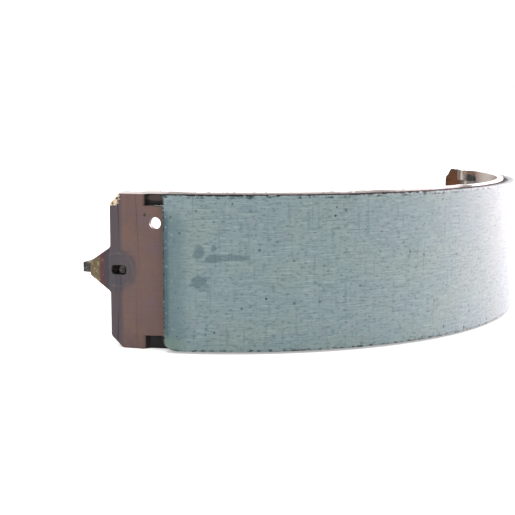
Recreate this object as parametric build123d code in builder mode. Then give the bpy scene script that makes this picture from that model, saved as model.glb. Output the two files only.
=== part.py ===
"""Bonded brake shoe for a 254 mm drum: a friction lining on a welded, T-section steel shoe.

The shoe stands on one edge of its table, with the drum's axis upright. Its crown, the middle of
the lining, faces -Y. Plan sketches are drawn about the drum's axis, and angles are measured
there from the crown, positive towards +X. The origin lies on the floor, under the middle of the
shoe's box. Lengths are millimetres and angles are degrees.
"""

from build123d import *
import os
from math import cos, degrees, radians, sin

# Lining: moulded friction material, bonded to the table and ground to the drum's size
lining_diameter = 254.0
lining_thickness = 5.0
lining_arc = 116.0
lining_inset = 0.5
bevel_length = 3.1
bevel_depth = 1.4

# Table: the rolled strip that carries the lining, with its four corners cropped
shoe_width = 57.0
table_thickness = 2.5
table_arc = 136.0
corner_length = 4.6
upper_corner_height = 4.7
lower_corner_height = 4.3
corner_radius = 2.5

# End tabs: tapered tongues of the strip, bent inwards over the web's toes
tab_root_width = 16.3
tab_tip_width = 5.0
tab_tip_radius = 1.0
tab_bend = 4.0
tab_bend_radius = 6.0
tab_straight = 8.2
tab_root_radius = 1.5

# Slots beside the tabs, where the web's tenons lock
slot_setback = 0.4
slot_length = 5.9
slot_side_clearance = 0.2
slot_corner_radius = 1.2

# Nibs: strips lanced along both edges and pushed inwards, so that they bear on the backing plate
nib_angles = (-58.5, -22.5, 0.0, 58.5)
nib_length = 16.0
nib_width = 4.2
nib_slit = 0.8
nib_slit_radius = 0.7
nib_offset = 2.3
nib_ramp = 3.0
nib_lap = 0.4

# Tooling hole near the left end of the table
tooling_hole_diameter = 4.3
tooling_hole_setback = 17.4
tooling_hole_rise = 17.3

# Web: the flat rib that stands on edge inside the table
web_thickness = 3.0
web_depth = 34.0
web_toe_reach = 5.0
web_end_length = 26.5
web_end_tilt = 3.0
web_toe_radius = 0.8
web_heel_radius = 3.5
tenon_length = 3.2
tenon_end_clearance = 0.2
tenon_recess = 0.5
tenon_chamfer = 0.6
spring_hole_diameter = 5.8
spring_hole_angle = 31.0
spring_hole_depth = 20.5
hold_down_hole_diameter = 8.5
hold_down_hole_depth = 17.0

# Projection welds along both sides of the web
weld_angles = (-60.0, -45.0, -30.0, -15.0, 0.0, 15.0, 30.0, 45.0, 60.0)
weld_length = 5.0
weld_leg = 1.3

# What follows from the sizes above
lining_outer = lining_diameter / 2
table_outer = lining_outer - lining_thickness
table_inner = table_outer - table_thickness
half_lining = lining_arc / 2
half_table = table_arc / 2
half_width = shoe_width / 2
tab_inner_radius = tab_bend_radius - table_thickness
slot_width = web_thickness + 2 * slot_side_clearance


def polar(radius, angle):
    """Plan point at a radius about the drum's axis and an angle from the crown."""
    return Vector(radius * sin(radians(angle)), -radius * cos(radians(angle)))


def span(length):
    """Angle that a length along the table's outer face spans."""
    return degrees(length / table_outer)


def drum_arc(radius, start, end):
    """Arc about the drum's axis between two angles from the crown."""
    return CenterArc((0, 0), radius, start - 90, end - start)


def bent_end(edge, radius, length):
    """The sheet's line past the table's end: a short bend inwards and a straight run."""
    bend = JernArc(edge @ 1, edge % 1, radius, tab_bend)
    return Line(bend @ 1, bend @ 1 + (bend % 1) * length)


# The web in plan, with its toes past the tabs and its concave inner edge
with BuildSketch() as web_plan:
    with BuildLine():
        rim = drum_arc(table_inner, 0, half_table)
        toe_line = bent_end(rim, tab_inner_radius, tab_straight + web_toe_reach)
        end_direction = (-polar(1, half_table)).rotate(Axis.Z, -web_end_tilt)
        end_line = Line(toe_line @ 1, toe_line @ 1 + end_direction * web_end_length)
        mirror(about=Plane.YZ)
        heel = end_line @ 1
        ThreePointArc(heel, polar(table_inner - web_depth, 0), (-heel.X, heel.Y))
    make_face()
    fillet(web_plan.vertices().group_by(Axis.Y)[-1], web_heel_radius)
    fillet(web_plan.vertices().group_by(Axis.X)[0], web_toe_radius)
    fillet(web_plan.vertices().group_by(Axis.X)[-1], web_toe_radius)

# The drum's axis stands where the middle of the shoe's box is at the origin
web_back = web_plan.sketch.bounding_box().max.Y
drum_plane = Plane(origin=(0, (lining_outer - web_back) / 2, 0))


def facing(angle):
    """Plane on the table's outer face, at mid height: x along the table, y up, z outwards."""
    place = drum_plane.from_local_coords(polar(table_outer, angle)) + Vector(0, 0, half_width)
    along = Vector(cos(radians(angle)), sin(radians(angle)), 0)
    return Plane(origin=place, x_dir=along, z_dir=polar(1, angle))


# One end tab: the bent strip, cut to its taper, which flares where it meets the table
with BuildPart() as tab:
    flare_width = tab_root_width + 2 * tab_root_radius
    with BuildSketch(drum_plane.offset(half_width - flare_width / 2)):
        with BuildLine():
            outer_edge = drum_arc(table_outer, half_table - span(table_thickness), half_table)
            inner_edge = drum_arc(table_inner, half_table - span(table_thickness), half_table)
            outer_run = bent_end(outer_edge, tab_bend_radius, tab_straight)
            inner_run = bent_end(inner_edge, tab_inner_radius, tab_straight)
            Line(outer_edge @ 0, inner_edge @ 0)
            Line(outer_run @ 1, inner_run @ 1)
        make_face()
    extrude(amount=flare_width)
    tab_reach = facing(half_table).to_local_coords(tab.part).bounding_box().max.X
    with BuildSketch(facing(half_table)) as taper:
        Polygon(
            (-table_thickness, flare_width / 2),
            (0, flare_width / 2),
            (0, tab_root_width / 2),
            (tab_reach, tab_tip_width / 2),
            (tab_reach, -tab_tip_width / 2),
            (0, -tab_root_width / 2),
            (0, -flare_width / 2),
            (-table_thickness, -flare_width / 2),
        )
        fillet(taper.vertices().group_by(Axis.X)[1].sort_by(Axis.Y)[1:3], tab_root_radius)
        fillet(taper.vertices().group_by(Axis.X)[-1], tab_tip_radius)
    extrude(amount=tab_reach, both=True, mode=Mode.INTERSECT)

with BuildPart() as table:
    # The rolled strip
    with BuildSketch(drum_plane):
        with BuildLine():
            outer_edge = drum_arc(table_outer, -half_table, half_table)
            inner_edge = drum_arc(table_inner, -half_table, half_table)
            Line(outer_edge @ 0, inner_edge @ 0)
            Line(outer_edge @ 1, inner_edge @ 1)
        make_face()
    extrude(amount=shoe_width)

    # Cropped corners, eased where they meet the strip's end and edges
    for side in (-1, 1):
        end = facing(side * half_table)
        with BuildSketch(end):
            for edge, height in ((1, upper_corner_height), (-1, lower_corner_height)):
                Polygon(
                    (-side * corner_length, edge * half_width),
                    (0, edge * (half_width - height)),
                    (side * corner_length, edge * (half_width - height)),
                    (side * corner_length, edge * shoe_width),
                    (-side * corner_length, edge * shoe_width),
                )
        extrude(amount=2 * table_thickness, both=True, mode=Mode.SUBTRACT)
        fillet(table.edges().filter_by(Axis(end.origin, end.z_dir)), corner_radius)

    # Tabs at both ends
    add(tab.part)
    mirror(tab.part, about=Plane.YZ)

    # Slots for the web's tenons
    slot_angle = half_table - span(slot_setback + slot_length / 2)
    with BuildSketch(facing(slot_angle), facing(-slot_angle)):
        RectangleRounded(slot_length, slot_width, slot_corner_radius)
    extrude(amount=2 * table_thickness, both=True, mode=Mode.SUBTRACT)

    # Windows that the lanced nibs leave
    with BuildSketch(*[facing(angle) for angle in nib_angles]):
        with Locations((0, half_width), (0, -half_width)):
            RectangleRounded(nib_length, 2 * (nib_width + nib_slit), nib_slit_radius)
    extrude(amount=2 * table_thickness, both=True, mode=Mode.SUBTRACT)

    # The nibs themselves, pushed inwards between two ramps
    for angle in nib_angles:
        with BuildSketch(drum_plane, drum_plane.offset(shoe_width - nib_width)):
            with BuildLine():
                nib_ends = []
                for radius in (table_outer, table_inner):
                    half_nib = span(nib_length / 2 + nib_lap)
                    half_flat = span(nib_length / 2 - nib_ramp)
                    flat = drum_arc(radius - nib_offset, angle - half_flat, angle + half_flat)
                    start = drum_arc(radius, angle - half_nib, angle - half_nib + span(nib_lap))
                    end = drum_arc(radius, angle + half_nib - span(nib_lap), angle + half_nib)
                    Spline(start @ 1, flat @ 0, tangents=(start % 1, flat % 0))
                    Spline(flat @ 1, end @ 0, tangents=(flat % 1, end % 0))
                    nib_ends.append((start @ 0, end @ 1))
                Line(nib_ends[0][0], nib_ends[1][0])
                Line(nib_ends[0][1], nib_ends[1][1])
            make_face()
        extrude(amount=nib_width)

    # Tooling hole
    with BuildSketch(facing(span(tooling_hole_setback) - half_table)):
        with Locations((0, tooling_hole_rise)):
            Circle(tooling_hole_diameter / 2)
    extrude(amount=2 * table_thickness, both=True, mode=Mode.SUBTRACT)

table.part.label = "table"

with BuildPart() as web:
    # The rib, pierced for the return springs and the hold-down pin
    with BuildSketch(drum_plane.offset(half_width - web_thickness / 2)):
        add(web_plan.sketch)
        for side in (-1, 1):
            with Locations(polar(table_inner - spring_hole_depth, side * spring_hole_angle)):
                Circle(spring_hole_diameter / 2, mode=Mode.SUBTRACT)
        with Locations(polar(table_inner - hold_down_hole_depth, 0)):
            Circle(hold_down_hole_diameter / 2, mode=Mode.SUBTRACT)
    extrude(amount=web_thickness)

    # Tenons that stand in the table's slots
    tenon_setback = slot_setback + slot_length - tenon_end_clearance - tenon_length / 2
    tenon_angle = half_table - span(tenon_setback)
    tenon_planes = [facing(side * tenon_angle).offset(-tenon_recess) for side in (-1, 1)]
    with BuildSketch(*tenon_planes):
        RectangleRounded(tenon_length, web_thickness, slot_corner_radius - slot_side_clearance)
    extrude(amount=-table_thickness)
    for plane in tenon_planes:
        tenon_top = web.faces().filter_by(plane).sort_by(Axis(plane.origin, plane.z_dir))[-1]
        chamfer(tenon_top.edges(), tenon_chamfer)

    # Weld nuggets in both corners between the web and the table
    with BuildSketch(drum_plane.offset(half_width - web_thickness / 2 - weld_leg)):
        for angle in weld_angles:
            with BuildLine():
                root = drum_arc(table_inner, angle - span(weld_length / 2), angle + span(weld_length / 2))
                ThreePointArc(root @ 0, polar(table_inner - weld_leg, angle), root @ 1)
            make_face()
    extrude(amount=web_thickness + 2 * weld_leg)

web.part.label = "web"

with BuildPart() as lining:
    # The moulded segment, with a bevel across each end
    with BuildSketch(drum_plane.offset(lining_inset)):
        with BuildLine():
            bevel_angle = half_lining - degrees(bevel_length / lining_outer)
            foot = drum_arc(table_outer, -half_lining, half_lining)
            rubbing_face = drum_arc(lining_outer, -bevel_angle, bevel_angle)
            for end, side in ((0, -1), (1, 1)):
                shoulder = polar(lining_outer - bevel_depth, side * half_lining)
                Polyline(foot @ end, shoulder, rubbing_face @ end)
        make_face()
    extrude(amount=shoe_width - 2 * lining_inset)

lining.part.label = "lining"

os.makedirs("parts", exist_ok=True)
for piece in (table, web, lining):
    export_step(piece.part, f"parts/{piece.part.label}.step")
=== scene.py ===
"""A bonded brake shoe for a 254 mm drum, dressed for rendering. Lengths are metres in its frame,
and millimetres in the materials, whose coordinates are unrolled about the drum's axis."""

from math import pi, radians

import bmesh
import bpy
from mathutils import Matrix, Vector


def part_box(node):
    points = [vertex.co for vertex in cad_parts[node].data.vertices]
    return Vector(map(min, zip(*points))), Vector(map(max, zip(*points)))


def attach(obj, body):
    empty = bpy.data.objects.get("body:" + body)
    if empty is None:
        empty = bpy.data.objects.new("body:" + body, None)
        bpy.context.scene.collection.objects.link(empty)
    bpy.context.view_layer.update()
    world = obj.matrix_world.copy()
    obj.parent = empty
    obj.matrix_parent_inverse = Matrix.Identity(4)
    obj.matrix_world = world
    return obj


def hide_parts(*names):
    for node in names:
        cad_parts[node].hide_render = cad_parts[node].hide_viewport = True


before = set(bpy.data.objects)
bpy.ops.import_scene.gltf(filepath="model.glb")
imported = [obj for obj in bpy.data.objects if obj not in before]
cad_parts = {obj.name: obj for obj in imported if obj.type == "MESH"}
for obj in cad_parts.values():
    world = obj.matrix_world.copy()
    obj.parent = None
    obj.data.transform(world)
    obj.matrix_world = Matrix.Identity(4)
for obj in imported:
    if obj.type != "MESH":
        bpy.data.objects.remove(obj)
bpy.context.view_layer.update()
scene = bpy.context.scene
scene.view_settings.view_transform = "Standard"
mm = 0.001


# ---------------------------------------------------------------------------------------------
# Camera. It stands low, off the shoe's left end, and looks along the lining with a long lens,
# so that the table's end faces it and the lining sweeps away to the right.

camera_place = Vector((-354.46 * mm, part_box("lining")[0].y - 210.38 * mm, 84.46 * mm))
camera_heading = radians(-47.68)
camera_dip = radians(7.816)
camera_roll = radians(0.19)

lens = bpy.data.cameras.new("studio_camera")
lens.sensor_fit = "HORIZONTAL"
lens.sensor_width = 36.0
lens.lens = 73.2
lens.clip_start = 0.01
camera = bpy.data.objects.new("studio_camera", lens)
camera.matrix_world = (
    Matrix.Translation(camera_place)
    @ Matrix.Rotation(camera_heading, 4, "Z")
    @ Matrix.Rotation(pi / 2 - camera_dip, 4, "X")
    @ Matrix.Rotation(camera_roll, 4, "Z")
)
scene.collection.objects.link(camera)
scene.camera = camera


# ---------------------------------------------------------------------------------------------
# Studio. A white sweep of paper under and behind the shoe, a large window on the right that
# glances off the lining, and a weaker softbox overhead.


def add(tree, kind, links=(), **settings):
    """Adds a node. An input takes a value, a socket, or a node, which stands for its first output."""
    made = tree.nodes.new(kind)
    for name, value in settings.items():
        setattr(made, name, value)
    for name, value in dict(links).items():
        if isinstance(value, bpy.types.Node):
            value = next(socket for socket in value.outputs if socket.enabled)
        if isinstance(value, bpy.types.NodeSocket):
            tree.links.new(value, made.inputs[name])
        else:
            made.inputs[name].default_value = value
    return made


def linear(code):
    """Linear colour of an sRGB hex code."""
    parts = [int(code[i:i + 2], 16) / 255 for i in (1, 3, 5)]
    return [c / 12.92 if c <= 0.04045 else ((c + 0.055) / 1.055) ** 2.4 for c in parts] + [1.0]


def new_material(name):
    """A node material with nothing but its output, as (material, tree, output)."""
    material = bpy.data.materials.new(name)
    material.use_nodes = True
    material.node_tree.nodes.clear()
    return material, material.node_tree, add(material.node_tree, "ShaderNodeOutputMaterial")


def seen_or_mirrored(tree):
    """1 for a ray from the eye or off a shiny surface, and 0 for one that only gathers light."""
    ray = add(tree, "ShaderNodeLightPath")
    return add(tree, "ShaderNodeMath", {0: ray.outputs["Is Camera Ray"], 1: ray.outputs["Is Glossy Ray"]},
               operation="MAXIMUM")


ambient_strength = 0.62
world = bpy.data.worlds.new("white_studio")
world.use_nodes = True
tree = world.node_tree
tree.nodes.clear()
level = add(tree, "ShaderNodeMapRange", {"Value": seen_or_mirrored(tree), "To Min": ambient_strength,
                                         "To Max": 1.0})
backdrop = add(tree, "ShaderNodeBackground", {"Color": linear("#ffffff"), "Strength": level})
add(tree, "ShaderNodeOutputWorld", {"Surface": backdrop})
scene.world = world

# White paper. Its own light reaches only the eye and reflections, so it keeps the soft shadow.
paper_glow = 0.42
paper, tree, out = new_material("white_background_paper")
lift = add(tree, "ShaderNodeMath", {0: seen_or_mirrored(tree), 1: paper_glow}, operation="MULTIPLY")
matt = add(tree, "ShaderNodeBsdfDiffuse", {"Color": linear("#fdfdfd")})
glow = add(tree, "ShaderNodeEmission", {"Color": linear("#ffffff"), "Strength": lift})
lit = add(tree, "ShaderNodeAddShader", {0: matt, 1: glow})
tree.links.new(lit.outputs[0], out.inputs["Surface"])

floor_half = 4.0
floor_mesh = bpy.data.meshes.new("paper_floor")
corners = ((-1, -1), (1, -1), (1, 1), (-1, 1))
floor_mesh.from_pydata([(x * floor_half, y * floor_half, 0) for x, y in corners], [], [(0, 1, 2, 3)])
floor_mesh.materials.append(paper)
floor = bpy.data.objects.new("paper_floor", floor_mesh)
scene.collection.objects.link(floor)


def soft_lamp(name, place, target, width, power, tint="#ffffff", sheen_only=False):
    """A square area lamp at a place, turned to its target. It may show in reflections only."""
    data = bpy.data.lights.new(name, "AREA")
    data.shape = "SQUARE"
    data.size = width
    data.energy = power
    data.color = linear(tint)[:3]
    lamp = bpy.data.objects.new(name, data)
    lamp.location = place
    lamp.visible_diffuse = not sheen_only
    lamp.rotation_euler = (Vector(target) - Vector(place)).to_track_quat("-Z", "Y").to_euler()
    scene.collection.objects.link(lamp)


window_place, shoe_middle = (1.05, -0.32, 0.35), (0.03, -0.03, 0.03)
soft_lamp("right_window", window_place, shoe_middle, 1.3, 106.0, "#ffe4ec", sheen_only=True)
soft_lamp("overhead_softbox", (-0.25, 0.05, 1.3), (0, 0, 0.03), 0.9, 9.0)
soft_lamp("right_fill", window_place, shoe_middle, 1.15, 26.0, "#fff6f8")


# ---------------------------------------------------------------------------------------------
# Lining. A segment of friction compound, hot-moulded from resin, fibres and metal powder, sawn
# to width and bonded to the table. Its face is ground to the drum's curve, which leaves fine
# lines around it and opens small pores; its sides stay rough and dark.

drum_radius = 127.0 * mm
lining_low, lining_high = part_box("lining")
drum_axis = Vector((0, lining_low.y + drum_radius, 0))
lining_foot = 122.0 * mm
lining_arc = radians(116.0)
lining_middle = (lining_low.z + lining_high.z) / 2


def new_shape_tree(name, sizes):
    """A geometry tree with a named input for each size, as (tree, its input sockets, its output)."""
    tree = bpy.data.node_groups.new(name, "GeometryNodeTree")
    for label, value in sizes.items():
        socket = tree.interface.new_socket(label, in_out="INPUT", socket_type="NodeSocketFloat")
        socket.default_value = value
    tree.interface.new_socket("Geometry", in_out="OUTPUT", socket_type="NodeSocketGeometry")
    return tree, add(tree, "NodeGroupInput").outputs, add(tree, "NodeGroupOutput")


def grown_mesh(tree, sizes):
    """The plain mesh that a geometry tree makes with these sizes, its faces turned outwards."""
    blank = bpy.data.objects.new(tree.name, bpy.data.meshes.new(tree.name))
    scene.collection.objects.link(blank)
    modifier = blank.modifiers.new(tree.name, "NODES")
    modifier.node_group = tree
    for item in tree.interface.items_tree:
        if item.in_out == "INPUT":
            modifier[item.identifier] = sizes[item.name]
    bpy.context.view_layer.update()
    ready = blank.evaluated_get(bpy.context.evaluated_depsgraph_get())
    mesh = bpy.data.meshes.new_from_object(ready)
    bpy.data.objects.remove(blank)
    shell = bmesh.new()
    shell.from_mesh(mesh)
    bmesh.ops.recalc_face_normals(shell, faces=shell.faces)
    shell.to_mesh(mesh)
    shell.free()
    return mesh


def finish_piece(name, mesh, replaced=None, smooth_angle=35.0):
    """Turns a mesh in the shoe's frame into a finished piece on the shoe's one body."""
    mesh.polygons.foreach_set("use_smooth", [True] * len(mesh.polygons))
    mesh.set_sharp_from_angle(angle=radians(smooth_angle))
    piece = bpy.data.objects.new(name, mesh)
    scene.collection.objects.link(piece)
    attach(piece, "root")
    if replaced:
        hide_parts(replaced)


def drum_coordinates(tree):
    """Object coordinates unrolled about the drum's axis, in millimetres: along, outwards, up."""
    place = add(tree, "ShaderNodeTexCoord").outputs["Object"]
    parts = add(tree, "ShaderNodeSeparateXYZ",
                {0: add(tree, "ShaderNodeVectorMath", {0: place, 1: tuple(drum_axis)}, operation="SUBTRACT")})
    front = add(tree, "ShaderNodeMath", {0: parts.outputs["Y"], 1: -1.0}, operation="MULTIPLY")
    angle = add(tree, "ShaderNodeMath", {0: parts.outputs["X"], 1: front}, operation="ARCTAN2")
    along = add(tree, "ShaderNodeMath", {0: angle, 1: lining_foot / mm}, operation="MULTIPLY")
    plan = add(tree, "ShaderNodeCombineXYZ", {"X": parts.outputs["X"], "Y": front})
    radius = add(tree, "ShaderNodeVectorMath", {0: plan}, operation="LENGTH")
    outwards = add(tree, "ShaderNodeMath", {0: radius, 1: 1 / mm}, operation="MULTIPLY")
    up = add(tree, "ShaderNodeMath", {0: parts.outputs["Z"], 1: 1 / mm}, operation="MULTIPLY")
    return add(tree, "ShaderNodeCombineXYZ", {"X": along, "Y": outwards, "Z": up})


# Millimetres outwards: a pattern this long runs straight through a piece, and a patch this deep
# takes in its whole thickness.
through, whole_depth = 60.0, 40.0


def grain(tree, here, size, detail=3.0, roughness=0.55):
    """Random streaks or patches of a size (along, outwards, up) in millimetres, from 0 to 1."""
    scaled = add(tree, "ShaderNodeVectorMath", {0: here, 1: [1 / s for s in size]}, operation="MULTIPLY")
    return add(tree, "ShaderNodeTexNoise", {"Vector": scaled, "Scale": 1.0, "Detail": detail,
                                            "Roughness": roughness})


def stain(tree, colour, code, amount, start=0.0, end=1.0, strength=1.0):
    """Lays a stain over a colour where an amount goes from start to end."""
    cover = add(tree, "ShaderNodeMapRange", {"Value": amount, "From Min": start, "From Max": end,
                                             "To Max": strength}, interpolation_type="SMOOTHSTEP")
    return add(tree, "ShaderNodeMix", {0: cover, 6: colour, 7: linear(code)}, data_type="RGBA")


def specks(tree, here, spacing, size, share, seed):
    """Scattered round specks: a share of the cells of a spacing hold one, at most size across, in mm."""
    shift = (seed, seed * 1.7, seed * 2.3)
    scaled = add(tree, "ShaderNodeVectorMath", {0: here, 1: [1 / spacing] * 3, 2: shift},
                 operation="MULTIPLY_ADD")
    cells = add(tree, "ShaderNodeTexVoronoi", {"Vector": scaled, "Scale": 1.0})
    pick = add(tree, "ShaderNodeSeparateColor", {0: cells.outputs["Color"]})
    reach = add(tree, "ShaderNodeMapRange", {"Value": pick, "From Min": 1 - share, "From Max": 1.0,
                                             "To Max": size / spacing / 2})
    depth = add(tree, "ShaderNodeMath", {0: reach, 1: cells.outputs["Distance"]}, operation="SUBTRACT")
    return add(tree, "ShaderNodeMapRange", {"Value": depth, "From Min": 0.0, "From Max": size / spacing / 6},
               interpolation_type="SMOOTHSTEP")


def around(tree, here, place, reach, ragged=None):
    """1 near a place (along, outwards, up), falling to 0 at its reach each way, in millimetres. A
    ragged amount from 0 to 1 moves the edge in and out about its mean."""
    raggedness, full_within = 1.6, 0.4
    offset = add(tree, "ShaderNodeVectorMath", {0: here, 1: place}, operation="SUBTRACT")
    scaled = add(tree, "ShaderNodeVectorMath", {0: offset, 1: [1 / r for r in reach]}, operation="MULTIPLY")
    away = add(tree, "ShaderNodeVectorMath", {0: scaled}, operation="LENGTH")
    if ragged:
        away = add(tree, "ShaderNodeMath", {0: ragged, 1: raggedness, 2: away}, operation="MULTIPLY_ADD")
        away = add(tree, "ShaderNodeMath", {0: away, 1: raggedness / 2}, operation="SUBTRACT")
    return add(tree, "ShaderNodeMapRange", {"Value": away, "From Min": 1.0, "From Max": full_within},
               interpolation_type="SMOOTHSTEP")


def beyond(tree, value, start, end, times=1.0):
    """0 at start and 1 at end of a value in millimetres, times another amount."""
    cover = add(tree, "ShaderNodeMapRange", {"Value": value, "From Min": start, "From Max": end},
                interpolation_type="SMOOTHSTEP")
    return add(tree, "ShaderNodeMath", {0: cover, 1: times}, operation="MULTIPLY")


def surface(tree, out, colour, roughness, relief, depth, metallic=0.0, shine=0.5):
    """The finished surface, with its relief of (amount, weight) terms pressed in to a depth in mm."""
    height = 0.0
    for amount, weight in relief:
        height = add(tree, "ShaderNodeMath", {0: amount, 1: weight, 2: height}, operation="MULTIPLY_ADD")
    bump = add(tree, "ShaderNodeBump", {"Height": height, "Distance": depth * mm, "Strength": 1.0})
    shader = add(tree, "ShaderNodeBsdfPrincipled", {"Base Color": colour, "Roughness": roughness,
                                                    "Metallic": metallic, "Specular IOR Level": shine,
                                                    "Normal": bump})
    tree.links.new(shader.outputs[0], out.inputs["Surface"])


# Ground friction compound: grey-green and matt, with short grinding lines, open pores and a few
# pale fibres. Its ends are painted darker, as shade on their bevels.
ground_compound, tree, out = new_material("friction_compound_ground")
here = drum_coordinates(tree)
place = add(tree, "ShaderNodeSeparateXYZ", {0: here})
along, up = place.outputs["X"], place.outputs["Z"]
from_crown = add(tree, "ShaderNodeMath", {0: along}, operation="ABSOLUTE")
cloud = grain(tree, here, (24.0, through, 13.0))
mottle = grain(tree, here, (1.6, through, 0.9), detail=3.0, roughness=0.6)
lines = grain(tree, here, (7.0, through, 0.5), detail=3.0, roughness=0.6)
chatter = grain(tree, here, (0.9, through, 14.0), detail=2.0)
colour = stain(tree, linear("#84989b"), "#889a98", cloud, 0.42, 0.62)
colour = stain(tree, colour, "#8a969c", grain(tree, here, (5.0, through, 4.0)), 0.55, 0.75)
colour = stain(tree, colour, "#5a6f74", mottle, 0.51, 0.73)
colour = stain(tree, colour, "#a3b3b5", mottle, 0.42, 0.22, 0.7)
colour = stain(tree, colour, "#a3b4b6", lines, 0.53, 0.8)
colour = stain(tree, colour, "#63777b", lines, 0.48, 0.24)
colour = stain(tree, colour, "#6a7e83", chatter, 0.54, 0.76, 0.6)
ragged = grain(tree, here, (2.2, through, 1.6), detail=4.0, roughness=0.65)
smear = grain(tree, here, (4.5, through, 2.0), detail=3.0)
for along_at, up_at, half_long, half_tall in ((-111.0, 36.2, 2.6, 3.6), (-110.8, 25.6, 4.2, 3.4),
                                              (-105.8, 37.8, 1.5, 1.9), (-105.6, 34.2, 4.2, 2.2),
                                              (-98.0, 34.6, 6.6, 1.7)):
    patch = around(tree, here, (along_at, 127.0, up_at), (half_long, whole_depth, half_tall), smear)
    colour = stain(tree, colour, "#48626a", patch, strength=0.6)
# Painted shade: the ends darken towards their bevels, less so near the top and bottom edges.
tall = add(tree, "ShaderNodeMath", {0: beyond(tree, up, 54.0, 46.0), 1: beyond(tree, up, 1.0, 6.0)},
           operation="MULTIPLY")
colour = stain(tree, colour, "#5a757b", beyond(tree, from_crown, 111.0, 121.5, tall), strength=0.7)
colour = stain(tree, colour, "#37525a", beyond(tree, from_crown, 120.0, 123.0, tall), strength=0.8)
crumbs = specks(tree, here, 1.1, 1.1, 0.6, 6.1)
colour = stain(tree, colour, "#a9bcbe", beyond(tree, from_crown, 118.0, 120.5, crumbs), strength=0.45)
worn_corner = around(tree, here, (-123.0, 127.0, 0.5), (9.0, whole_depth, 9.0), ragged)
colour = stain(tree, colour, "#74897f", worn_corner, strength=0.8)
pores = specks(tree, here, 3.0, 1.5, 0.5, 3.1)
fine_pores = specks(tree, here, 1.4, 0.7, 0.35, 8.4)
pits = specks(tree, here, 6.0, 1.5, 0.5, 12.6)
flecks = specks(tree, here, 6.0, 0.9, 0.35, 17.2)
colour = stain(tree, colour, "#5a7075", fine_pores, strength=0.85)
colour = stain(tree, colour, "#4d6166", pores, strength=0.85)
colour = stain(tree, colour, "#2a383b", pits)
colour = stain(tree, colour, "#ccd6d8", flecks, strength=0.8)
colour = stain(tree, colour, "#33464a", beyond(tree, up, 54.2, 55.4, ragged), 0.5, 0.62)
colour = stain(tree, colour, "#1a2324", beyond(tree, up, 2.6, 1.4, ragged), 0.48, 0.6)
# Painted shadow: a dark broken line at the very ends of the face, where the lining meets the table.
colour = stain(tree, colour, "#161c1e", beyond(tree, from_crown, 122.7, 123.1, ragged), 0.42, 0.55)
relief = ((lines, 0.3), (mottle, 0.4), (fine_pores, -0.4), (pores, -1.0), (pits, -1.6))
surface(tree, out, colour, 0.66, relief, 0.07)

# Raw side of the compound: black moulding skin beside the table, torn by the saw and dusted pale
# towards the ground face, with rusty metal chips in it. The pale also grows towards the right end,
# as painted light from the right window.
raw_compound, tree, out = new_material("friction_compound_raw_side")
here = drum_coordinates(tree)
torn = grain(tree, here, (1.4, 0.8, 0.8), detail=5.0, roughness=0.7)
place = add(tree, "ShaderNodeSeparateXYZ", {0: here})
colour = stain(tree, linear("#050506"), "#1c1f21", torn, 0.5, 0.7)
dust_and_painted_light = add(tree, "ShaderNodeMath", {0: torn, 1: 5.0, 2: place.outputs["Y"]}, operation="MULTIPLY_ADD")
# Painted light: the pale rises along the strip towards its right end.
dust_and_painted_light = add(tree, "ShaderNodeMath", {0: place.outputs["X"], 1: 0.03, 2: dust_and_painted_light}, operation="MULTIPLY_ADD")
colour = stain(tree, colour, "#a9b0b1", beyond(tree, dust_and_painted_light, 127.4, 129.4))
colour = stain(tree, colour, "#a85f5c", specks(tree, here, 3.4, 1.9, 0.45, 5.5), strength=0.8)
surface(tree, out, colour, 0.7, ((torn, 1.0),), 0.3, shine=0.05)

segment_sizes = {"Foot radius": lining_foot, "Thickness": drum_radius - lining_foot, "Arc": lining_arc,
                 "Width": lining_high.z - lining_low.z, "Bevel length": 4.6 * mm, "Bevel depth": 1.4 * mm,
                 "Eased arris": 0.15 * mm, "Grit": 0.9 * mm, "Grit depth": 0.3 * mm, "Chip": 1.6 * mm,
                 "Chip depth": 0.75 * mm, "Worn corner": 2.0 * mm, "Worn length": 5.4 * mm,
                 "Worn height": 9.0 * mm, "Side band": 0.3 * mm, "Mesh step": 0.5 * mm,
                 "Bevel roundness": 1.6, "Corner roundness": 2.2}
rings_along_the_arc = 261
segment, size, out = new_shape_tree("ground_lining_segment", segment_sizes)
half_arc = add(segment, "ShaderNodeMath", {0: size["Arc"], 1: 0.5}, operation="MULTIPLY")
half_wide = add(segment, "ShaderNodeMath", {0: size["Width"], 1: 0.5}, operation="MULTIPLY")
face_radius = add(segment, "ShaderNodeMath", {0: size["Foot radius"], 1: size["Thickness"]})
middle = add(segment, "ShaderNodeMath", {0: size["Thickness"], 1: 0.5, 2: size["Foot radius"]},
             operation="MULTIPLY_ADD")
start = add(segment, "ShaderNodeMath", {0: -pi / 2, 1: half_arc}, operation="SUBTRACT")
path = add(segment, "GeometryNodeCurveArc", {"Resolution": rings_along_the_arc, "Radius": middle,
                                             "Start Angle": start, "Sweep Angle": size["Arc"]})
level_path = add(segment, "GeometryNodeSetCurveNormal", {"Curve": path}, mode="Z_UP")
section = add(segment, "GeometryNodeCurvePrimitiveQuadrilateral", {"Width": size["Thickness"],
                                                                   "Height": size["Width"]})
fine_section = add(segment, "GeometryNodeResampleCurve", {"Curve": section, "Length": size["Mesh step"]},
                   mode="LENGTH")
swept = add(segment, "GeometryNodeCurveToMesh", {"Curve": level_path, "Profile Curve": fine_section,
                                                 "Fill Caps": True})
on_axis = tuple(drum_axis + Vector((0, 0, lining_middle)))
placed = add(segment, "GeometryNodeTransform", {"Geometry": swept, "Translation": on_axis})

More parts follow.
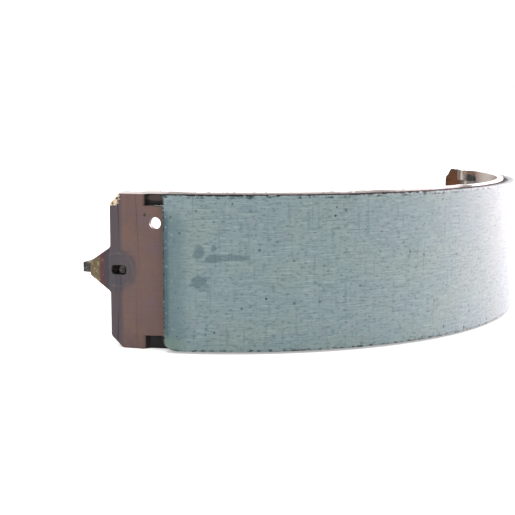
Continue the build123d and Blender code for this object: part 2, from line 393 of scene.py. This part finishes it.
spot = add(segment, "ShaderNodeVectorMath", {0: add(segment, "GeometryNodeInputPosition"), 1: on_axis},
           operation="SUBTRACT")
parts = add(segment, "ShaderNodeSeparateXYZ", {0: spot})
plan = add(segment, "ShaderNodeCombineXYZ", {"X": parts.outputs["X"], "Y": parts.outputs["Y"]})
radius = add(segment, "ShaderNodeVectorMath", {0: plan}, operation="LENGTH")
outward = add(segment, "ShaderNodeVectorMath", {0: plan}, operation="NORMALIZE")
front = add(segment, "ShaderNodeMath", {0: parts.outputs["Y"], 1: -1.0}, operation="MULTIPLY")
angle = add(segment, "ShaderNodeMath", {0: parts.outputs["X"], 1: front}, operation="ARCTAN2")
off_crown = add(segment, "ShaderNodeMath", {0: angle}, operation="ABSOLUTE")
end_angle = add(segment, "ShaderNodeMath", {0: half_arc, 1: off_crown}, operation="SUBTRACT")
end_gap = add(segment, "ShaderNodeMath", {0: end_angle, 1: radius}, operation="MULTIPLY")
share = add(segment, "ShaderNodeMapRange", {"Value": radius, "From Min": size["Foot radius"],
                                            "From Max": face_radius})
bevel = add(segment, "ShaderNodeMapRange", {"Value": end_gap, "From Max": size["Bevel length"],
                                            "To Min": 1.0, "To Max": 0.0})
rounded = add(segment, "ShaderNodeMath", {0: bevel, 1: size["Bevel roundness"]}, operation="POWER")
deepest = add(segment, "ShaderNodeMath", {0: size["Bevel depth"], 1: share}, operation="MULTIPLY")
cut = add(segment, "ShaderNodeMath", {0: rounded, 1: deepest}, operation="MULTIPLY")
off_middle = add(segment, "ShaderNodeMath", {0: parts.outputs["Z"]}, operation="ABSOLUTE")
side_gap = add(segment, "ShaderNodeMath", {0: half_wide, 1: off_middle}, operation="SUBTRACT")
on_side = add(segment, "ShaderNodeMapRange", {"Value": side_gap, "From Min": size["Side band"],
                                              "From Max": 0.0})
grit_scale = add(segment, "ShaderNodeMath", {0: 1.0, 1: size["Grit"]}, operation="DIVIDE")
grit = add(segment, "ShaderNodeTexNoise", {"Vector": spot, "Scale": grit_scale})
torn = add(segment, "ShaderNodeMath", {0: grit, 1: size["Grit depth"]}, operation="MULTIPLY")
chip_scale = add(segment, "ShaderNodeMath", {0: 1.0, 1: size["Chip"]}, operation="DIVIDE")
chance = add(segment, "ShaderNodeTexNoise", {"Vector": spot, "Scale": chip_scale, "Detail": 3.0})
chip = add(segment, "ShaderNodeMapRange", {"Value": chance, "From Min": 0.53, "From Max": 0.75,
                                           "To Min": size["Eased arris"], "To Max": size["Chip depth"]})
at_arris = add(segment, "ShaderNodeMapRange", {"Value": share, "From Min": 0.8, "From Max": 1.0})
edge_chip = add(segment, "ShaderNodeMath", {0: chip, 1: at_arris}, operation="MULTIPLY")
side_wear = add(segment, "ShaderNodeMath", {0: torn, 1: edge_chip})
side_wear = add(segment, "ShaderNodeMath", {0: side_wear, 1: on_side}, operation="MULTIPLY")
face_wear = add(segment, "ShaderNodeMath", {0: edge_chip, 1: on_side, 2: cut}, operation="MULTIPLY_ADD")
side = add(segment, "ShaderNodeMath", {0: parts.outputs["Z"]}, operation="SIGN")
sink = add(segment, "ShaderNodeMath", {0: side, 1: side_wear}, operation="MULTIPLY")
worn_away = add(segment, "ShaderNodeVectorMath", {0: outward, "Scale": face_wear}, operation="SCALE")
from_left = add(segment, "ShaderNodeMath", {0: angle, 1: half_arc})
from_left = add(segment, "ShaderNodeMath", {0: from_left, 1: radius}, operation="MULTIPLY")
near_left = add(segment, "ShaderNodeMapRange", {"Value": from_left, "From Max": size["Worn length"],
                                                "To Min": 1.0, "To Max": 0.0})
rounding = add(segment, "ShaderNodeMath", {0: near_left, 1: size["Corner roundness"]}, operation="POWER")
from_foot = add(segment, "ShaderNodeMath", {0: parts.outputs["Z"], 1: half_wide})
near_foot = add(segment, "ShaderNodeMapRange", {"Value": from_foot, "From Max": size["Worn height"],
                                                "To Min": size["Worn corner"], "To Max": 0.0})
lift = add(segment, "ShaderNodeMath", {0: rounding, 1: near_foot}, operation="MULTIPLY")
sink = add(segment, "ShaderNodeMath", {0: sink, 1: lift}, operation="SUBTRACT")
sunk = add(segment, "ShaderNodeCombineXYZ", {"Z": sink})
worn = add(segment, "ShaderNodeVectorMath", {0: worn_away, 1: sunk})
inwards = add(segment, "ShaderNodeVectorMath", {0: worn, "Scale": -1.0}, operation="SCALE")
shaped = add(segment, "GeometryNodeSetPosition", {"Geometry": placed, "Offset": inwards})

tilt = add(segment, "ShaderNodeVectorMath", {0: add(segment, "GeometryNodeInputNormal"), 1: outward},
           operation="DOT_PRODUCT")
flatness = add(segment, "ShaderNodeMath", {0: tilt}, operation="ABSOLUTE")
ground_flatness = 0.6
on_edge = add(segment, "ShaderNodeMath", {0: flatness, 1: ground_flatness}, operation="LESS_THAN")
whole = add(segment, "GeometryNodeRealizeInstances", {"Geometry": shaped})
ground = add(segment, "GeometryNodeSetMaterial", {"Geometry": whole, "Material": ground_compound})
finished = add(segment, "GeometryNodeSetMaterial", {"Geometry": ground, "Selection": on_edge,
                                                    "Material": raw_compound})
segment.links.new(finished.outputs[0], out.inputs[0])
finish_piece("lining_segment", grown_mesh(segment, segment_sizes), "lining", 50.0)


# ---------------------------------------------------------------------------------------------
# Table. A steel strip rolled to the drum's curve, with lanced nibs, cropped corners and bent
# tabs. It was dipped in bonding primer and baked, which leaves a mauve-brown film outside and a
# rusty one inside; heat has tinted the tabs, and handling has rubbed the arrises bright, which
# are also painted near-white as a highlight where they face up.

# Millimetres along the strip from its crown, outwards from the drum's axis, and up from the floor.
table_end = 144.79
table_face, table_inside = 122.0, 119.5
web_middle = 28.5
# Degrees around the drum.
weld_spacing = 15.0


def dressed_copy(node_name, arris_width):
    """The CAD piece as one clean skin. Its sharp edges are broken, with material 1 on the arris,
    wherever the edges beside them leave room, so that the skin never folds through itself."""
    joins_within, sliver = 0.03 * mm, 0.001 * mm
    flat_within, sharp_beyond = radians(0.5), radians(28)
    room = 2.2 * arris_width
    shell = bmesh.new()
    shell.from_mesh(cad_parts[node_name].data)
    bmesh.ops.remove_doubles(shell, verts=shell.verts, dist=joins_within)
    bmesh.ops.dissolve_limit(shell, angle_limit=flat_within, verts=shell.verts, edges=shell.edges)
    for face in shell.faces:
        face.material_index = 0
    sharp = [edge for edge in shell.edges if edge.is_manifold and edge.calc_face_angle(0) > sharp_beyond
             and min(near.calc_length() for end in edge.verts for near in end.link_edges) > room]
    bmesh.ops.bevel(shell, geom=sharp, offset=arris_width, offset_type="OFFSET", segments=2, profile=0.5,
                    affect="EDGES", clamp_overlap=False, material=1)
    bmesh.ops.dissolve_degenerate(shell, dist=sliver, edges=shell.edges)
    mesh = bpy.data.meshes.new(node_name + "_skin")
    shell.to_mesh(mesh)
    shell.free()
    return mesh


# Mask for painted shade round each weld, in the corner between the web and the table.
def weld_shade(tree, here, reach):
    """1 at the welds between the web and the table, falling to 0 at a reach in millimetres."""
    place = add(tree, "ShaderNodeSeparateXYZ", {0: here})
    half_spacing = radians(weld_spacing) * lining_foot / mm / 2
    aside = add(tree, "ShaderNodeMath", {0: place.outputs["X"], 1: half_spacing}, operation="PINGPONG")
    spot = add(tree, "ShaderNodeCombineXYZ", {"X": aside, "Y": place.outputs["Y"], "Z": place.outputs["Z"]})
    shade_rim_noise = grain(tree, here, (1.5, 1.5, 1.5), detail=4.0)
    return around(tree, spot, (0.0, table_inside, web_middle), reach, shade_rim_noise)


# Bonding primer baked on steel: a thin mauve-brown film, smooth enough to show the rolling lines
# under it. The end was masked and heated, so it is purple-grey, straw and crimson.
baked_primer, tree, out = new_material("bonding_primer_baked_on_steel")
here = drum_coordinates(tree)
place = add(tree, "ShaderNodeSeparateXYZ", {0: here})
up = place.outputs["Z"]
from_crown = add(tree, "ShaderNodeMath", {0: place.outputs["X"]}, operation="ABSOLUTE")
mirrored = add(tree, "ShaderNodeCombineXYZ", {"X": from_crown, "Y": table_face, "Z": up})
drawn = grain(tree, here, (18.0, through, 0.5))
cloud = grain(tree, here, (9.0, through, 11.0))
blotch = grain(tree, here, (2.6, through, 2.0), detail=4.0, roughness=0.65)
colour = stain(tree, linear("#69504b"), "#70544a", cloud, 0.46, 0.66)
colour = stain(tree, colour, "#665156", cloud, 0.44, 0.3)
colour = stain(tree, colour, "#785c54", drawn, 0.5, 0.74, 0.45)
colour = stain(tree, colour, "#5c4847", drawn, 0.48, 0.28, 0.45)
colour = stain(tree, colour, "#473d45", beyond(tree, from_crown, table_end - 6.2, table_end - 2.8),
               strength=0.9)
halo = around(tree, mirrored, (table_end - 2.2, table_face, web_middle), (11.5, whole_depth, 10.0), cloud)
colour = stain(tree, colour, "#433d44", halo, strength=0.85)
heated = around(tree, mirrored, (table_end - 2.7, table_face, web_middle), (8.6, whole_depth, 8.6))
ring = add(tree, "ShaderNodeMath", {0: heated, 1: 0.5, 2: 0.1}, operation="COMPARE")
broken_ring = add(tree, "ShaderNodeMath", {0: ring, 1: blotch}, operation="MULTIPLY")
colour = stain(tree, colour, "#75655f", broken_ring, 0.4, 0.7, 0.4)
wander = add(tree, "ShaderNodeMath", {0: blotch, 1: 3.2, 2: from_crown}, operation="MULTIPLY_ADD")
past_bend = add(tree, "ShaderNodeMath", {0: wander, 1: table_end + 1.6}, operation="SUBTRACT")
colour = stain(tree, colour, "#22252f", beyond(tree, past_bend, 0.0, 1.4), strength=0.9)
colour = stain(tree, colour, "#481923", beyond(tree, past_bend, 1.7, 2.5))
flame = grain(tree, here, (1.3, through, 1.8), detail=2.0)
colour = stain(tree, colour, "#78552f", beyond(tree, past_bend, 2.0, 3.0, flame), 0.54, 0.66)
colour = stain(tree, colour, "#65573a", beyond(tree, past_bend, 4.0, 5.2))
colour = stain(tree, colour, "#a9915a", beyond(tree, past_bend, 4.0, 5.2, flame), 0.5, 0.66)
# Painted shade: the nibs' floors, sunk below the outer face, are painted near-black.
shaded_nib_floor = beyond(tree, place.outputs["Y"], 121.7, 121.1)
colour = stain(tree, colour, "#0b0a0a", shaded_nib_floor, strength=0.98)
# Painted light: the middle of the seen nib's floor is lighter, so its painted shade gathers at the cut edges.
lit_nib_centre = around(tree, here, (-127.6, table_face, 54.7), (4.4, whole_depth, 1.6))
colour = stain(tree, colour, "#66544e", lit_nib_centre, strength=0.6)
dent = around(tree, here, (-131.2, table_face, 48.7), (0.7, whole_depth, 0.8))
colour = stain(tree, colour, "#2a201f", dent)
colour = stain(tree, colour, "#3a2d2b", specks(tree, here, 3.4, 0.7, 0.3, 9.2), strength=0.8)
crop = around(tree, mirrored, (table_end - 1.6, table_face, 54.0), (4.2, whole_depth, 4.2), blotch)
flake = add(tree, "ShaderNodeMath", {0: crop, 1: grain(tree, here, (1.1, through, 1.1), detail=2.0)},
            operation="MULTIPLY")
colour = stain(tree, colour, "#ecd2ae", flake, 0.43, 0.5)
# A pale line just under the top edge: rubbed, and painted as a highlight where the edge faces the light
# above.
rub_and_highlight = grain(tree, here, (3.0, through, 0.6), detail=3.0)
colour = stain(tree, colour, "#f2e6e2", beyond(tree, up, 56.0, 56.3, rub_and_highlight), 0.12, 0.3)
# The nibs' floors, painted near-black as shade, also lose most of their gloss.
gloss = add(tree, "ShaderNodeMath", {0: shaded_nib_floor, 1: -0.25, 2: 0.5}, operation="MULTIPLY_ADD")
surface(tree, out, colour, 0.48, ((drawn, 0.5), (blotch, 0.3)), 0.02, shine=gloss)

# Primer over rolling scale: thinner on the inside, so it looks brown and streaked, chalky towards
# the upper edge and rusty past the lining's ends. The rib's joint is smoked yellow, and painted
# black beside each weld as shade in the corner with the rib.
rusty_primer, tree, out = new_material("primer_over_rolling_scale")
here = drum_coordinates(tree)
place = add(tree, "ShaderNodeSeparateXYZ", {0: here})
up = place.outputs["Z"]
from_crown = add(tree, "ShaderNodeMath", {0: place.outputs["X"]}, operation="ABSOLUTE")
mirrored = add(tree, "ShaderNodeCombineXYZ", {"X": from_crown, "Y": table_inside, "Z": up})
cloud = grain(tree, here, (14.0, through, 9.0), detail=4.0)
scale = grain(tree, here, (2.4, through, 1.8), detail=5.0, roughness=0.7)
runs = grain(tree, here, (1.6, through, 16.0))
colour = stain(tree, linear("#5a3328"), "#86634a", cloud, 0.42, 0.66)
colour = stain(tree, colour, "#3a2019", scale, 0.52, 0.36)
colour = stain(tree, colour, "#a98a6c", scale, 0.6, 0.78, 0.7)
colour = stain(tree, colour, "#4a2c22", runs, 0.55, 0.78, 0.6)
colour = stain(tree, colour, "#c9a17e", specks(tree, here, 2.4, 0.8, 0.35, 4.4))
chalky = beyond(tree, from_crown, 124.0, 96.0, beyond(tree, up, 40.0, 52.0))
colour = stain(tree, colour, "#cbbcb0", chalky, strength=0.75)
creep = add(tree, "ShaderNodeMath", {0: cloud, 1: 14.0, 2: from_crown}, operation="MULTIPLY_ADD")
rusted = beyond(tree, creep, 133.5, 139.0)
colour = stain(tree, colour, "#4f3a2c", rusted, strength=0.85)
orange = around(tree, mirrored, (136.4, table_inside, 47.5), (9.0, whole_depth, 14.0), cloud)
colour = stain(tree, colour, "#7c4219", orange, strength=0.5)
colour = stain(tree, colour, "#2c1c14", beyond(tree, scale, 0.52, 0.36, rusted), strength=0.45)
colour = stain(tree, colour, "#9c6a3e", beyond(tree, scale, 0.6, 0.74, rusted), strength=0.5)
nib_recess = around(tree, mirrored, (118.0, table_inside, 52.8), (5.5, whole_depth, 3.6), scale)
colour = stain(tree, colour, "#17110e", nib_recess)
# Painted highlight: a pale streak on the inside where the nib's ramp faces the light.
highlit_nib_ramp = around(tree, mirrored, (125.4, table_inside, 52.5), (2.4, whole_depth, 9.0), runs)
colour = stain(tree, colour, "#e6dccb", highlit_nib_ramp, strength=0.65)
off_web = add(tree, "ShaderNodeMath", {0: up, 1: web_middle}, operation="SUBTRACT")
near_web = add(tree, "ShaderNodeMath", {0: off_web}, operation="ABSOLUTE")
colour = stain(tree, colour, "#8a7c5f", beyond(tree, near_web, 9.0, 3.0, scale), 0.25, 0.6)
# Painted shade beside each weld, in the corner between the table and the rib.
colour = stain(tree, colour, "#1d1714", weld_shade(tree, here, (5.5, through, 5.5)))
# The film was rusted dull past the lining's end, and keeps its gloss between the ends.
gloss = add(tree, "ShaderNodeMath", {0: rusted, 1: -0.45, 2: 0.5}, operation="MULTIPLY_ADD")
surface(tree, out, colour, 0.2, ((scale, 0.7), (runs, 0.3)), 0.008, shine=gloss)

# Sheared steel: a burnished band where the punch entered and a torn, oxidised one below it.
sheared_steel, tree, out = new_material("sheared_steel_edge")
here = drum_coordinates(tree)
torn = grain(tree, here, (2.0, 0.7, 1.6), detail=4.0, roughness=0.65)
colour = stain(tree, linear("#1d1b1d"), "#4b4542", torn, 0.4, 0.6)
colour = stain(tree, colour, "#96826a", torn, 0.6, 0.74)
surface(tree, out, colour, 0.42, ((torn, 1.0),), 0.1, metallic=0.3)

# Burnished arris: bare bright steel where the edges rubbed against other shoes in the bin, painted near-white
# as a highlight.
bright_arris, tree, out = new_material("burnished_steel_arris_and_highlight")
here = drum_coordinates(tree)
rubbed_and_highlit = grain(tree, here, (2.4, through, 1.4))
colour = stain(tree, linear("#8d827e"), "#fbf6f2", rubbed_and_highlit, 0.3, 0.48)
colour = stain(tree, colour, "#4f4644", rubbed_and_highlit, 0.3, 0.2)
surface(tree, out, colour, 0.38, ((rubbed_and_highlit, 1.0),), 0.02)

table_mesh = dressed_copy("table", 0.2 * mm)
# Lancing takes no steel away, so each nib's cut side is drawn across its slit to a hairline. The
# heights, from either edge of the strip, keep their order, so that the skin doesn't fold. Beyond
# the nibs are the cropped corners, which stay as they are.
strip_width, nib_reach = 57.0 * mm, 110.0 * mm
still_below, moves_whole_from = 1.0 * mm, 3.75 * mm
nib_side, strip_side = 4.2 * mm, 5.0 * mm
slit, hairline = strip_side - nib_side, 0.03 * mm
for vertex in table_mesh.vertices:
    upper = vertex.co.z > strip_width / 2
    height = strip_width - vertex.co.z if upper else vertex.co.z
    if abs(vertex.co.x) < nib_reach and still_below < height < strip_side:
        if height > nib_side:
            height = strip_side - (strip_side - height) * hairline / slit
        else:
            height += (slit - hairline) * min(1.0, (height - still_below) / (moves_whole_from - still_below))
        vertex.co.z = strip_width - height if upper else height
# Only the outer edges rub against other shoes: the slits' and slots' edges stay as sheared. Edges that face
# up get the near-white arris as painted highlight, and those that face down the dark sheared steel as painted
# shade.
primed, scaled_inside, sheared, rubbed_and_highlit = range(4)
for material in (baked_primer, rusty_primer, sheared_steel, bright_arris):
    table_mesh.materials.append(material)
upper_edge, slot_half = 56 * mm, 3 * mm
turned, level_up, overhanging = 0.4, 0.9, -0.2
for face in table_mesh.polygons:
    outward = Vector((face.center.x, face.center.y - drum_axis.y, 0)).normalized()
    facing = face.normal.dot(outward)
    on_upper_edge = face.center.z > upper_edge
    if face.material_index == 1:
        off_slot = abs(face.center.z - web_middle * mm) > slot_half
        on_outer_edge = on_upper_edge or (abs(face.center.x) > nib_reach and off_slot)
        face.material_index = rubbed_and_highlit if on_outer_edge and face.normal.z > overhanging else sheared
    elif facing > turned:
        face.material_index = primed
    elif facing < -turned:
        face.material_index = scaled_inside
    else:
        face.material_index = rubbed_and_highlit if on_upper_edge and face.normal.z > level_up else sheared
finish_piece("table_strip", table_mesh, "table", 30.0)


# ---------------------------------------------------------------------------------------------
# Web. A rib blanked from flat steel and projection-welded on edge into the table. It is pale,
# oiled bare steel, painted darker green-grey as shade towards its corner with the table, and
# painted black as shade round the welds.

oiled_steel, tree, out = new_material("blanked_steel_oiled")
here = drum_coordinates(tree)
place = add(tree, "ShaderNodeSeparateXYZ", {0: here})
cloud = grain(tree, here, (17.0, 9.0, through), detail=4.0)
scuff = grain(tree, here, (3.0, 0.8, through), detail=4.0, roughness=0.65)
rust = grain(tree, here, (2.2, 2.2, through), detail=5.0, roughness=0.7)
colour = stain(tree, linear("#a89e96"), "#c2b8b0", cloud, 0.38, 0.62)
colour = stain(tree, colour, "#8d8982", scuff, 0.54, 0.74)
colour = stain(tree, colour, "#7a5a40", rust, 0.6, 0.72, 0.8)
# Painted shade: darker green-grey towards the table, in the corner between the rib and the table.
colour = stain(tree, colour, "#6c6f66", beyond(tree, place.outputs["Y"], 104.0, 119.0), strength=0.85)
colour = stain(tree, colour, "#57524c", specks(tree, here, 3.0, 0.8, 0.35, 7.7), strength=0.8)
# Painted shade round each weld.
colour = stain(tree, colour, "#191513", weld_shade(tree, here, (6.0, 4.2, through)))
surface(tree, out, colour, 0.6, ((cloud, 0.6), (scuff, 0.4)), 0.04, metallic=0.1, shine=0.35)

web_mesh = dressed_copy("web", 0.15 * mm)
# The toes reach a little lower than the plain sheet's face, which shuts the gap under each tenon.
toe_from, lower_side, deeper = 104.0 * mm, 27.4 * mm, 0.5 * mm
for vertex in web_mesh.vertices:
    if abs(vertex.co.x) > toe_from and vertex.co.z < lower_side:
        vertex.co.z -= deeper
oiled, sheared, rubbed_and_highlit = range(3)
for material in (oiled_steel, sheared_steel, bright_arris):
    web_mesh.materials.append(material)
level_face = 0.7
for face in web_mesh.polygons:
    if face.material_index == 1:
        face.material_index = rubbed_and_highlit
    else:
        face.material_index = oiled if abs(face.normal.z) > level_face else sheared
finish_piece("web_rib", web_mesh, "web", 30.0)


# ---------------------------------------------------------------------------------------------
# Weld beads. Each projection melted and squeezed out a bead of steel into the corner between
# the web and the table, on both sides of the web.

# Weld metal: bright where it froze last, blued and sooty round its foot.
weld_metal, tree, out = new_material("projection_weld_metal")
here = drum_coordinates(tree)
ripple = grain(tree, here, (0.8, 0.8, 0.8), detail=3.0)
colour = stain(tree, linear("#4a4a50"), "#c9c4bd", ripple, 0.42, 0.6)
surface(tree, out, colour, 0.34, ((ripple, 1.0),), 0.12, metallic=0.7)

off_table = 0.5
bead_sizes = {"Corner radius": table_inside * mm - off_table * mm, "Spacing": radians(weld_spacing),
              "Count": 9.0, "Length": 3.4 * mm, "Thickness": 1.5 * mm, "Off middle": 2.0 * mm,
              "Lumps": 0.5 * mm, "Lumps per metre": 700.0, "Seed": 4.0}
beads, size, out = new_shape_tree("weld_beads", bead_sizes)
drop = add(beads, "GeometryNodeMeshIcoSphere", {"Radius": 0.5, "Subdivisions": 3})
flattened = add(beads, "ShaderNodeCombineXYZ", {"X": size["Length"], "Y": size["Thickness"],
                                                "Z": size["Thickness"]})
corner = add(beads, "ShaderNodeMath", {0: size["Corner radius"], 1: -1.0}, operation="MULTIPLY")
sides = add(beads, "GeometryNodeJoinGeometry")
for side in (-1.0, 1.0):
    height = add(beads, "ShaderNodeMath", {0: size["Off middle"], 1: side}, operation="MULTIPLY")
    seat = add(beads, "ShaderNodeCombineXYZ", {"Y": corner, "Z": height})
    bead = add(beads, "GeometryNodeTransform", {"Geometry": drop, "Translation": seat, "Scale": flattened})
    beads.links.new(bead.outputs[0], sides.inputs[0])
welds = add(beads, "GeometryNodePoints", {"Count": size["Count"],
                                          "Position": tuple(drum_axis + Vector((0, 0, web_middle * mm)))})
half_count = add(beads, "ShaderNodeMath", {0: size["Count"], 1: -0.5, 2: 0.5}, operation="MULTIPLY_ADD")
place = add(beads, "ShaderNodeMath", {0: add(beads, "GeometryNodeInputIndex"), 1: half_count})
turn = add(beads, "ShaderNodeMath", {0: place, 1: size["Spacing"]}, operation="MULTIPLY")
around_drum = add(beads, "ShaderNodeCombineXYZ", {"Z": turn})
row = add(beads, "GeometryNodeInstanceOnPoints", {"Points": welds, "Instance": sides,
                                                  "Rotation": around_drum})
whole = add(beads, "GeometryNodeRealizeInstances", {"Geometry": row})
lump = add(beads, "ShaderNodeTexNoise", {"W": size["Seed"], "Scale": size["Lumps per metre"], "Detail": 1.0},
           noise_dimensions="4D")
swell = add(beads, "ShaderNodeMath", {0: lump, 1: 0.5}, operation="SUBTRACT")
swell = add(beads, "ShaderNodeMath", {0: swell, 1: size["Lumps"]}, operation="MULTIPLY")
push = add(beads, "ShaderNodeVectorMath", {0: add(beads, "GeometryNodeInputNormal"), "Scale": swell},
           operation="SCALE")
lumpy = add(beads, "GeometryNodeSetPosition", {"Geometry": whole, "Offset": push})
finished = add(beads, "GeometryNodeSetMaterial", {"Geometry": lumpy, "Material": weld_metal})
beads.links.new(finished.outputs[0], out.inputs[0])
finish_piece("weld_beads", grown_mesh(beads, bead_sizes))
